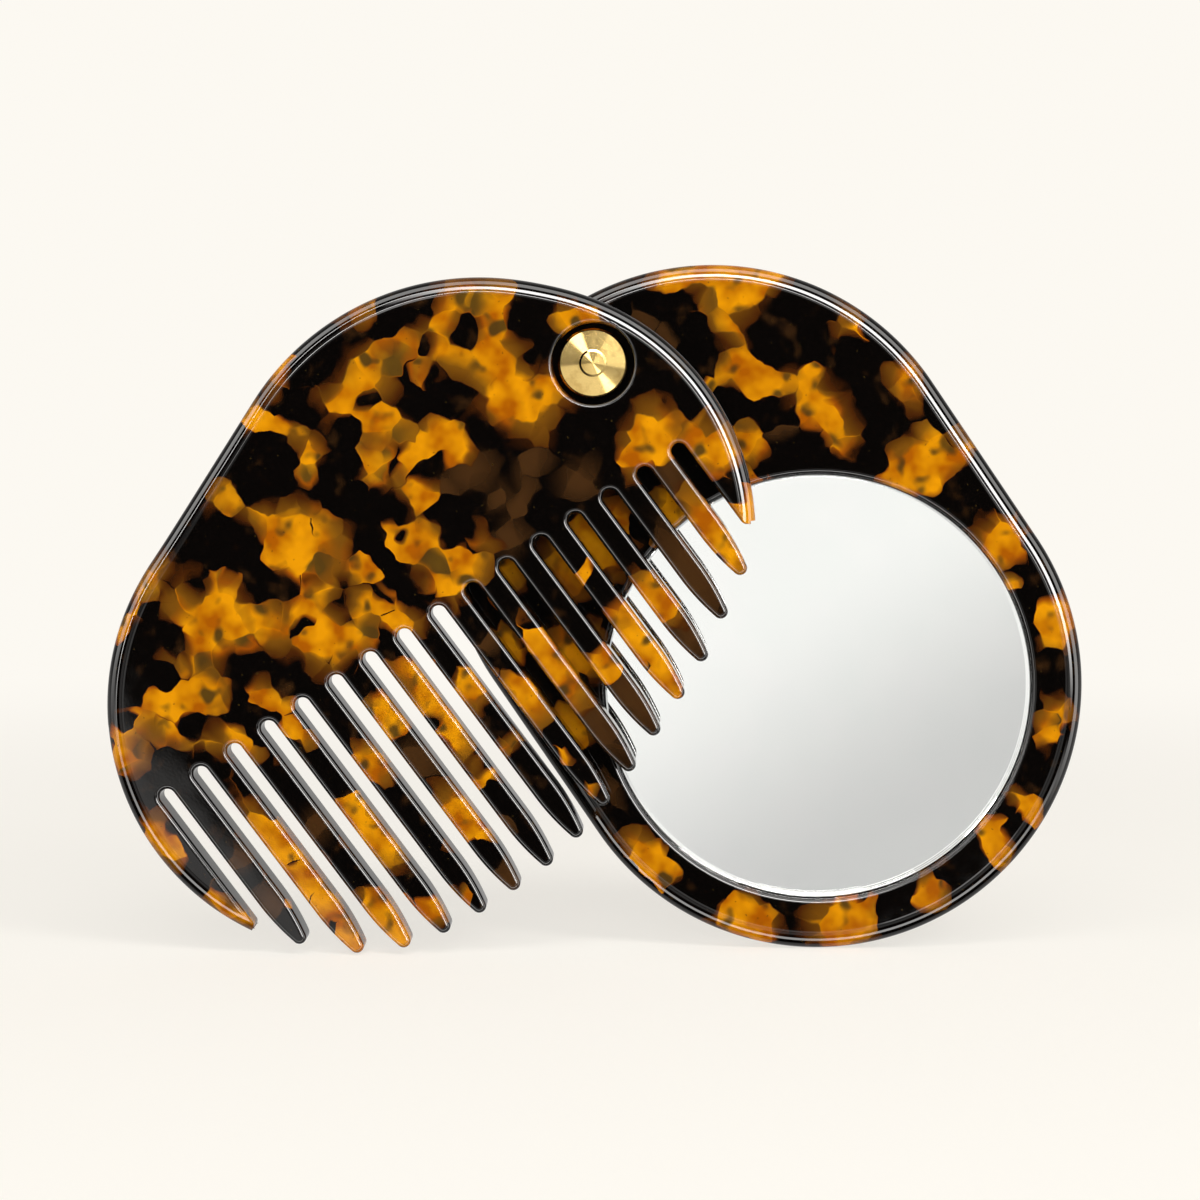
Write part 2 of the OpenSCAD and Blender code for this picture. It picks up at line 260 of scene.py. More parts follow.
mirrorStance = plateStance(stance["frameTilt"], stance["framePivot"], mirrorPlate["front"])
mirrorPiece = addMirrorPlate(mirrorPlate)
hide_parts("mirror_frame")
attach(mirrorPiece, "mirror_side")

print("comb plate")
comb = {
    "thickness": 5.0,
    "front": -5.5 * mm,
    "slots": 16,
    "pitch": 5.77,
    "slotWidth": 2.2,
    "lip": 0.7,
    "lipSteps": 7,
    "rootSteps": 24,
    "tipSteps": 10,
    "pointSteps": 14,
    "pastTips": 12,
    "pastPoint": 8,
    "pastAxis": 0.05,  # how far the gaps on both sides of a tooth overlap past its tip
    "rootAngle": 23.3,
    "rootOffset": 1.0,
    "rootShift": 0.5,
    "toothLean": 2.5,
    "tipInset": 2.3,
    "tipSag": 2.9,
    "sagPlace": 0.38,
    "sagSpread": 0.18,
    "tipRunOut": 2.0,
    "runOutPower": 20,
    "tipLength": 8.0,
    "tipRadius": 1.0,
    "outerTipRadius": 0.75,
    "beakTipRadius": 1.1,
    "swell": (-3.6, -2.1, 34.8),  # middle and radius of the round beside the pivot
    "outer": (28.4, 2.4, 35.0),  # and of the round at the outer tooth
    "counterboreRadius": 5.7,
    "counterboreLip": 0.5,
    "counterboreDepth": 2.32,
    "barrelBore": 2.04,
    "outlineSteps": 480,
    "outerTooth": (-3.5, 40.0),
    "spare": 3.0,  # left on past the tips, where the gaps cut it away
    "spareFades": (-9.5, -133.0),
    "spareEnds": -139.0,
    "blend": 0.3,
}


def turned(angle):
    return Vector((math.cos(math.radians(angle)), math.sin(math.radians(angle))))


rowDir = turned(comb["rootAngle"])
backDir = turned(comb["rootAngle"] + 90)
toothAngle = comb["rootAngle"] - 90 - comb["toothLean"]
toothDir = turned(toothAngle)
acrossDir = turned(toothAngle + 90)
rowLength = (comb["slots"] - 1) * comb["pitch"]
firstRoot = (
    Vector((plates["axisLength"] / 2 + comb["rootShift"], 0))
    + comb["rootOffset"] * backDir + rowLength / 2 * rowDir
)
slotRadius = comb["slotWidth"] / 2
toothPitch = comb["pitch"] * math.cos(math.radians(comb["toothLean"]))
toothWidth = toothPitch - comb["slotWidth"]
taperLength = comb["tipLength"] - comb["tipRadius"]
taperRadius = (
    (taperLength ** 2 + toothWidth ** 2 / 4 - comb["tipRadius"] ** 2) / (toothWidth - 2 * comb["tipRadius"])
)


def slotRoot(k):
    return firstRoot - k * comb["pitch"] * rowDir


def rayToRound(start, direction, middle, radius):
    offset = start - middle
    along = offset.dot(direction)
    return -along + math.sqrt(max(0.0, along * along - offset.dot(offset) + radius * radius))


def rayToStadium(start, direction, radius):
    # from a point inside to the outline of a plate with round ends
    side = (math.copysign(radius, direction.y) - start.y) / (direction.y or 1e-9)
    x = start.x + side * direction.x
    if 0 <= x <= plates["axisLength"]:
        return side
    return rayToRound(start, direction, Vector((plates["axisLength"] if x > 0 else 0, 0)), radius)


def tipReach(k):
    # distance from the root of tooth k, between slots k - 1 and k, to its tip
    place = k / (comb["slots"] - 1)
    inset = (
        comb["tipInset"] + comb["tipSag"] * math.exp(-((place - comb["sagPlace"]) / comb["sagSpread"]) ** 2)
        - comb["tipRunOut"] * place ** comb["runOutPower"]
    )
    return rayToStadium(slotRoot(k - 0.5), toothDir, plates["endRadius"] - inset)


def softMax(a, b):
    return (a + b + math.sqrt((a - b) ** 2 + comb["blend"] ** 2)) / 2


def smoothStep(value):
    value = min(1.0, max(0.0, value))
    return value * value * (3 - 2 * value)


combMiddle = Vector((plates["axisLength"] / 2, 0))


def combRadius(angle):
    # the comb's outline as seen from its middle
    direction = turned(angle)
    swell, outer = comb["swell"], comb["outer"]
    far = rayToRound(combMiddle, direction, Vector(outer[:2]), outer[2])
    near = rayToRound(combMiddle, direction, Vector(swell[:2]), swell[2])
    plain = rayToStadium(combMiddle, direction, plates["endRadius"])
    low, high = comb["outerTooth"]
    if low < angle < high:
        return far
    if angle >= high:
        return softMax(far, softMax(plain, near))
    full, fades = comb["spareFades"]
    ends = comb["spareEnds"]
    rise = smoothStep((low - angle) / (low - full))
    fall = smoothStep((angle - ends) / (fades - ends))
    return softMax(plain + comb["spare"] * min(rise, fall), near)


def combShape():
    count = comb["outlineSteps"]
    angles = [-180 + 360 * k / count for k in range(count)]
    return [tuple(combMiddle + combRadius(angle) * turned(angle)) for angle in angles]


def bulletSide(k, grow):
    # the upper side of tooth k in its own frame, from where it narrows to its tip, drawn in by grow
    reach = tipReach(k)
    start = reach - comb["tipLength"]
    lean = math.degrees(math.atan2(taperLength, taperRadius - toothWidth / 2))
    steps = comb["tipSteps"]
    side = arc((start, toothWidth / 2 - taperRadius), taperRadius - grow, 90, 90 - lean, steps)
    tip = arc((reach - comb["tipRadius"], 0), comb["tipRadius"] - grow, 90 - lean, 0, steps)
    return side + tip[1:] + [(reach - grow, -grow - comb["pastAxis"])]


def pointSide(k, middle, radius, tipRadius, side, grow):
    # one side of slot k where it runs out through the outline, with a round tip between slot and outline
    start = slotRoot(k) + side * (slotRadius + tipRadius) * acrossDir
    along = rayToRound(start, toothDir, Vector(middle), radius - tipRadius)
    centre = start + along * toothDir
    outward = centre - Vector(middle)
    turn = math.degrees(math.atan2(side * outward.dot(acrossDir), outward.dot(toothDir)))
    middleHere = (along, slotRadius + tipRadius)
    points = arc(middleHere, tipRadius - grow, -90, turn, comb["pointSteps"])
    return points + arc(middleHere, comb["pastPoint"], turn, turn, 1)[:1]


def gapOutline(k, grow):
    # slot k and the space past its teeth's tips, in the slot's own frame, grown by the given amount
    lift = rowDir.dot(toothDir) * comb["pitch"] / 2
    half = toothPitch / 2
    if k == 0:
        upper = pointSide(0, comb["outer"][:2], comb["outer"][2], comb["outerTipRadius"], 1, grow)
    else:
        upper = [(x + lift, half - y) for x, y in bulletSide(k, grow)]
    if k == comb["slots"] - 1:
        lower = pointSide(k, comb["swell"][:2], comb["swell"][2], comb["beakTipRadius"], -1, grow)
        lower = [(x, -y) for x, y in lower]
    else:
        lower = [(x - lift, y - half) for x, y in bulletSide(k + 1, grow)]
    far = max(upper[-1][0], lower[-1][0]) + comb["pastTips"]
    root = arc((0, 0), slotRadius + grow, 90, 270, comb["rootSteps"])
    return root + lower + [(far, lower[-1][1]), (far, upper[-1][1])] + upper[::-1]


def gapCutter(k):
    lip, half = comb["lip"], comb["thickness"] / 2
    place = slotRoot(k)
    points = []
    for x, y in gapOutline(k, lip):
        spot = place + x * toothDir + y * acrossDir
        points.append((spot.x, spot.y))
    over = plates["overcut"]
    piece = addOutline("gap_cutter", points, -over)
    turnOutline(piece, 1)
    pullUp(over)
    stepIn(flare(lip, comb["lipSteps"]))
    pullUp(half - lip)
    bpy.ops.mesh.delete(type="FACE")
    bpy.ops.object.mode_set(mode="OBJECT")
    piece.location.z = -half
    bpy.ops.object.transform_apply(location=True)
    # the back half mirrors the front half
    double = piece.modifiers.new("back", "MIRROR")
    double.use_axis = (False, False, True)
    double.merge_threshold = plates["merge"]
    bpy.ops.object.modifier_apply(modifier=double.name)
    piece.location.z = half
    bpy.ops.object.transform_apply(location=True)
    bpy.ops.object.mode_set(mode="EDIT")
    evenNormals()
    bpy.ops.object.mode_set(mode="OBJECT")
    return piece


def addCombPlate(user):
    piece = plateBlank("comb_body", combShape(), user["thickness"])
    for k in range(user["slots"]):
        cutAway(piece, gapCutter(k))
    pivot, over = stance["combPivot"], plates["overcut"]
    cutAway(piece, holeCutter(
        pivot, user["counterboreRadius"], user["counterboreLip"], -over, user["counterboreDepth"], 0
    ))
    cutAway(piece, holeCutter(pivot, user["barrelBore"], 0, -over, user["thickness"] + over, 0))
    polish(piece)
    standUp(piece, combStance)
    return piece


combStance = plateStance(stance["frameTilt"] + stance["combSwing"], stance["combPivot"], comb["front"])
combPiece = addCombPlate(comb)
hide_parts("comb_plate")
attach(combPiece, "comb")

print("camera")
# The photograph is square, and this is its view
camera = {
    "target": (0.5 * mm, 0.0, 49.77 * mm),
    "distance": 400 * mm,
    "azimuth": 1.0,
    "elevation": 4.5,
    "lens": 85.14,
    "sensor": 36.0,
    "clipStart": 10 * mm,
}


def awayTo(azimuth, elevation):
    # from straight in front, turned to the right and raised
    turn, rise = math.radians(azimuth), math.radians(elevation)
    return Vector((math.sin(turn) * math.cos(rise), -math.cos(turn) * math.cos(rise), math.sin(rise)))


def addCamera(user):
    away = awayTo(user["azimuth"], user["elevation"])
    bpy.ops.object.camera_add(location=Vector(user["target"]) + away * user["distance"])
    made = bpy.context.object
    made.rotation_euler = (-away).to_track_quat("-Z", "Y").to_euler()
    made.data.lens = user["lens"]
    made.data.sensor_width = user["sensor"]
    made.data.clip_start = user["clipStart"]
    bpy.context.scene.camera = made


addCamera(camera)
bpy.context.scene.view_settings.view_transform = "Standard"


def makeMaterial(name):
    material = bpy.data.materials.new(name)
    material.use_nodes = True
    material.node_tree.nodes.clear()
    return material, material.node_tree


def addNode(tree, kind, **values):
    node = tree.nodes.new(kind)
    for key, value in values.items():
        setattr(node, key, value)
    return node


def feed(tree, socket, value):
    if isinstance(value, bpy.types.NodeSocket):
        tree.links.new(value, socket)
    elif value is not None:
        socket.default_value = value


def maths(tree, operation, first, second=None, third=None, clamp=False):
    node = addNode(tree, "ShaderNodeMath", operation=operation, use_clamp=clamp)
    for socket, value in zip(node.inputs, (first, second, third)):
        feed(tree, socket, value)
    return node.outputs[0]


def vectors(tree, operation, first, second=None, third=None):
    node = addNode(tree, "ShaderNodeVectorMath", operation=operation)
    for socket, value in zip(node.inputs, (first, second, third)):
        feed(tree, socket, value)
    return node.outputs["Value" if operation == "LENGTH" else "Vector"]


def feedColor(tree, socket, value):
    feed(tree, socket, (*value, 1) if isinstance(value, tuple) else value)


def mixColor(tree, factor, first, second, blend="MIX"):
    node = addNode(tree, "ShaderNodeMix", data_type="RGBA", blend_type=blend)
    feed(tree, node.inputs["Factor"], factor)
    feedColor(tree, node.inputs[6], first)
    feedColor(tree, node.inputs[7], second)
    return node.outputs[2]


def spread(tree, value, low, high, newLow=0.0, newHigh=1.0, soft=True):
    node = addNode(tree, "ShaderNodeMapRange", interpolation_type="SMOOTHSTEP" if soft else "LINEAR")
    feed(tree, node.inputs["Value"], value)
    for socket, number in zip(node.inputs[1:5], (low, high, newLow, newHigh)):
        feed(tree, socket, number)
    return node.outputs["Result"]


def clouds(tree, place, scale, detail, output="Fac"):
    # noise whose scale is in turns per millimetre of the place it is given
    node = addNode(tree, "ShaderNodeTexNoise")
    feed(tree, node.inputs["Vector"], place)
    node.inputs["Scale"].default_value = scale
    node.inputs["Detail"].default_value = detail
    return node.outputs[output]


def blotches(tree, place, scale, detail, low, high, newLow=0.0, newHigh=1.0):
    # clouds that fade in between two of their values
    return spread(tree, clouds(tree, place, scale, detail), low, high, newLow, newHigh)


def colorSteps(tree, factor, stops):
    node = addNode(tree, "ShaderNodeValToRGB")
    feed(tree, node.inputs[0], factor)
    ramp = node.color_ramp
    while len(ramp.elements) < len(stops):
        ramp.elements.new(0.5)
    for element, (position, color) in zip(ramp.elements, stops):
        element.position = position
        element.color = (*color, 1)
    return node.outputs[0]


def mixShader(tree, factor, first, second):
    node = addNode(tree, "ShaderNodeMixShader")
    tree.links.new(factor, node.inputs[0])
    tree.links.new(first.outputs[0], node.inputs[1])
    tree.links.new(second.outputs[0], node.inputs[2])
    return node


def localPlace(tree, stanceHere):
    # Object coordinates turned into a piece's own frame, in millimetres
    place = addNode(tree, "ShaderNodeTexCoord")
    turn = addNode(tree, "ShaderNodeMapping", vector_type="TEXTURE")
    tree.links.new(place.outputs["Object"], turn.inputs["Vector"])
    turn.inputs["Location"].default_value = stanceHere.to_translation()
    turn.inputs["Rotation"].default_value = stanceHere.to_euler()
    turn.inputs["Scale"].default_value = (mm, mm, mm)
    return turn.outputs[0]


def finishShader(tree, color, roughness, relief, height, **sockets):
    # height is that of the relief, in millimetres
    out = addNode(tree, "ShaderNodeOutputMaterial")
    shader = addNode(tree, "ShaderNodeBsdfPrincipled")
    feed(tree, shader.inputs["Base Color"], color)
    feed(tree, shader.inputs["Roughness"], roughness)
    for name, value in sockets.items():
        feed(tree, shader.inputs[name.replace("_", " ")], value)
    bump = addNode(tree, "ShaderNodeBump")
    bump.inputs["Strength"].default_value = 1.0
    bump.inputs["Distance"].default_value = height * mm
    tree.links.new(relief, bump.inputs["Height"])
    tree.links.new(bump.outputs[0], shader.inputs["Normal"])
    tree.links.new(shader.outputs[0], out.inputs[0])
    return shader


print("studio")
studio = {
    "floorColor": (0.975, 0.945, 0.885),
    "floorRadius": 1.5,
    "floorSides": 96,
    "litShare": 0.3,
    "litColor": (0.90, 0.872, 0.816),
    "litFades": (0.11, 0.4),
}


def addFloor(user):
    bpy.ops.object.select_all(action="DESELECT")
    bpy.ops.mesh.primitive_circle_add(
        vertices=user["floorSides"], radius=user["floorRadius"], fill_type="NGON"
    )
    floor = bpy.context.object
    floor.name = "floor"
    material, tree = makeMaterial("floor_paint")
    out = addNode(tree, "ShaderNodeOutputMaterial")
    path = addNode(tree, "ShaderNodeLightPath")
    glow = addNode(tree, "ShaderNodeEmission")
    feedColor(tree, glow.inputs["Color"], user["floorColor"])
    lit = addNode(tree, "ShaderNodeBsdfDiffuse")
    feedColor(tree, lit.inputs["Color"], user["litColor"])
    clear = addNode(tree, "ShaderNodeBsdfTransparent")
    place = addNode(tree, "ShaderNodeTexCoord")
    away = vectors(tree, "LENGTH", place.outputs["Object"])
    shadow = spread(tree, away, *user["litFades"], user["litShare"], 0.0)
    eye = maths(tree, "MULTIPLY", path.outputs["Is Camera Ray"], maths(tree, "SUBTRACT", 1.0, shadow))
    seen = mixShader(tree, eye, lit, glow)
    either = maths(tree, "MAXIMUM", path.outputs["Is Glossy Ray"], path.outputs["Is Transmission Ray"])
    # gloss and glass look through the floor at the world
    seen = mixShader(tree, either, seen, clear)
    tree.links.new(seen.outputs[0], out.inputs[0])
    floor.data.materials.append(material)


addFloor(studio)

# What gloss sees is laid out by the tilt from straight ahead, in degrees, and by the turn round it, where 0
# and 1 are straight down, 0.25 is left, 0.5 is up and 0.75 is right. Each band is its tilts, its strength and
# its level at each turn.
surround = {
    "warmWhite": (1.0, 0.985, 0.96),
    "darkFront": (13.0, 14.2),
    "frontStrength": 0.015,
    "roomStrength": 0.22,
    "floorStrength": 0.6,
    "horizon": (-0.1, 0.1),
    "behind": ((100, 125), 0.6),
    "bandFade": 1,
    "bands": {
        "wedges": ((12, 18.5), 4.0, (
            (0.0, 0.26), (0.235, 0.24), (0.24, 0.08), (0.365, 0.13), (0.372, 1.0), (0.43, 1.0), (0.437, 0.08),
            (0.505, 0.2), (0.51, 0.14), (0.565, 0.2), (0.572, 0.36), (0.772, 0.3), (0.78, 0.12), (0.88, 0.2),
            (0.886, 0.9), (0.938, 0.9), (0.944, 0.26),
        )),
        "thin_ring": ((19.5, 22), 26.0, ((0.28, 0.0), (0.34, 1.0), (0.7, 1.0), (0.78, 0.0))),
        "right_ring": ((31, 49), 27.0, ((0.42, 0.0), (0.5, 1.0), (0.72, 1.0), (0.79, 0.0))),
        "left_ring": ((44, 50), 24.0, ((0.2, 0.0), (0.27, 1.0), (0.44, 1.0), (0.5, 0.0))),
        "pale_ring": ((58, 84), 5.0, ((0.2, 0.0), (0.3, 1.0), (0.78, 1.0), (0.85, 0.0))),
        "floor_ring": ((46, 60), 7.0, ((0.16, 1.0), (0.25, 0.0), (0.8, 0.0), (0.87, 1.0))),
    },
    "mirrorLean": -0.6,
    "mirrorFade": (-0.21, -0.10),
    "mirrorGrey": ((1.0, 0.99, 0.975), 0.64),
    "mirrorWhite": ((1.0, 0.99, 0.965), 1.0),
    "fill": (0.13, 0.62),
    "fillTurns": (-0.3, 0.7),
}


def addWorld(user):
    world = bpy.data.worlds.new("studio")
    bpy.context.scene.world = world
    world.use_nodes = True
    tree = world.node_tree
    tree.nodes.clear()

    def shade(color, strength):
        node = addNode(tree, "ShaderNodeBackground")
        feedColor(tree, node.inputs["Color"], color)
        node.inputs["Strength"].default_value = strength
        return node

    out = addNode(tree, "ShaderNodeOutputWorld")
    path = addNode(tree, "ShaderNodeLightPath")
    place = addNode(tree, "ShaderNodeTexCoord")
    parts = addNode(tree, "ShaderNodeSeparateXYZ")
    tree.links.new(place.outputs["Generated"], parts.inputs[0])
    # gloss sees a pale floor, a dim room and a dark front
    white = user["warmWhite"]
    upward = spread(tree, parts.outputs["Z"], *user["horizon"])
    room = mixShader(tree, upward, shade(white, user["floorStrength"]), shade(white, user["roomStrength"]))
    tilt = maths(tree, "ARCCOSINE", maths(tree, "MULTIPLY", parts.outputs["Y"], -1.0))
    tilt = maths(tree, "DEGREES", tilt)
    turn = maths(tree, "ARCTAN2", parts.outputs["X"], parts.outputs["Z"])
    turn = maths(tree, "MULTIPLY_ADD", turn, 1 / math.tau, 0.5)
    front = spread(tree, tilt, *user["darkFront"])
    gloss = mixShader(tree, front, shade(white, user["frontStrength"]), room)
    behind, behindStrength = user["behind"]
    gloss = mixShader(tree, spread(tree, tilt, *behind), gloss, shade(white, behindStrength))
    fade = user["bandFade"]
    for (near, far), strength, stops in user["bands"].values():
        starts = spread(tree, tilt, near, near + fade)
        inBand = maths(tree, "MULTIPLY", starts, spread(tree, tilt, far, far - fade))
        level = colorSteps(tree, turn, [(place, (value, value, value)) for place, value in stops])
        band = shade(mixColor(tree, 1.0, white, level, "MULTIPLY"), strength)
        gloss = mixShader(tree, inBand, gloss, band)
    # the mirror sees grey low down and to the right, and white above
    slope = maths(tree, "MULTIPLY_ADD", parts.outputs["X"], user["mirrorLean"], parts.outputs["Z"])
    rise = spread(tree, slope, *user["mirrorFade"])
    mirrored = mixShader(tree, rise, shade(*user["mirrorGrey"]), shade(*user["mirrorWhite"]))
    # the fill is dim in front and stronger behind
    rear = spread(tree, parts.outputs["Y"], *user["fillTurns"])
    fill = mixShader(tree, rear, *[shade(white, strength) for strength in user["fill"]])
    lights = mixShader(tree, path.outputs["Is Glossy Ray"], fill, gloss)
    lights = mixShader(tree, path.outputs["Is Transmission Ray"], lights, mirrored)
    seen = mixShader(tree, path.outputs["Is Camera Ray"], lights, shade(studio["floorColor"], 1.0))
    tree.links.new(seen.outputs[0], out.inputs[0])


addWorld(surround)

lampAim = Vector((0, 0, 50 * mm))
lampColor = (1, 0.98, 0.95)
# Each lamp is its azimuth and elevation, distance, size and radiance. Gloss sees the bands above instead.
lamps = {
    "soft_box": ((0, 13), 1.0, (0.9, 0.1), 15),
    "strip_above": ((0, 27), 1.0, (0.9, 0.03), 16),
    "top_box": ((6, 60), 0.8, (0.8, 0.2), 6),
    "right_box": ((46, 38), 0.8, (0.22, 0.22), 12),
    "left_box": ((-62, 20), 0.8, (0.12, 0.7), 3),
}


def addLamp(name, direction, distance, size, radiance):
    away = awayTo(*direction)
    bpy.ops.object.light_add(type="AREA", location=lampAim + away * distance)
    lamp = bpy.context.object
    lamp.name = name
    lamp.rotation_euler = (-away).to_track_quat("-Z", "Y").to_euler()
    lamp.data.shape = "RECTANGLE"
    lamp.data.size, lamp.data.size_y = size
    lamp.data.energy = radiance * math.pi * size[0] * size[1]
    lamp.data.color = lampColor
    lamp.visible_glossy = False


for lampName, settings in lamps.items():
    addLamp(lampName, *settings)

print("tortoiseshell")
# Clouds have a scale and a detail, and blotches also the two cloud values that they fade in between
shell = {
    "warps": ((0.16, 1, 3.0), (0.45, 1, 1.0)),  # clouds, and how far they shift the patches in millimetres
    "cells": (0.32, 0.22, 0.5),  # scale, smoothness, and how far places are drawn to the cells' middles
    "flakes": (0.27, 0.15),
    "flakeShare": 0.3,
    "grow": 0.17,
    "depthReach": 9.0,
    "toothReach": 2.5,
    "blend": 0.22,
    "patchesInTurn": 36,
    "trace": 1e-6,
    "softPlaces": (0.13, 2, 0.36, 0.56),
    "edge": (0.95, 3.4),  # how steep the patches' edges are where they are soft and elsewhere
    "smokyPlaces": (0.31, 1, 0.56, 0.72),
    "smokeFades": (1.5, 0.4),
    "smokeCover": 0.92,
    "murkyPlaces": (0.27, 2, 0.56, 0.9),
    "murkFades": (1.6, 0.3),
    "specks": (1.6, 1, 0.72, 0.78),
    "speckCover": 0.6,
    "shadeShows": (0.0, 0.12),
    "rimShows": (0.12, 0.5),
    "amberShows": (0.5, 0.95),
    "toneClouds": (0.22, 2),
    "toneSteps": (0.36, 0.5, 0.64),
    # how softly the painted shade round the pivot fades out, in millimetres
    "paintedShadeFade": 0.15,
    "ground": (0.0016, 0.0011, 0.0009),
    "shade": (0.045, 0.012, 0.0018),
    "rim": (0.25, 0.057, 0.002),
    "softRim": (0.14, 0.055, 0.004),
    "ambers": ((0.3, 0.076, 0.001), (0.47, 0.172, 0.0015), (0.62, 0.25, 0.002)),
    "smoke": (0.042, 0.027, 0.006),
    "murk": (0.045, 0.019, 0.0055),
    "roughness": (0.6, 3, 0.3, 0.7, 0.015, 0.04),
    "ripple": (2.5, 2),
    "rippleShare": 0.06,
    "swell": (0.15, 1),
    "relief": 0.012,
    "ior": 1.5,
}
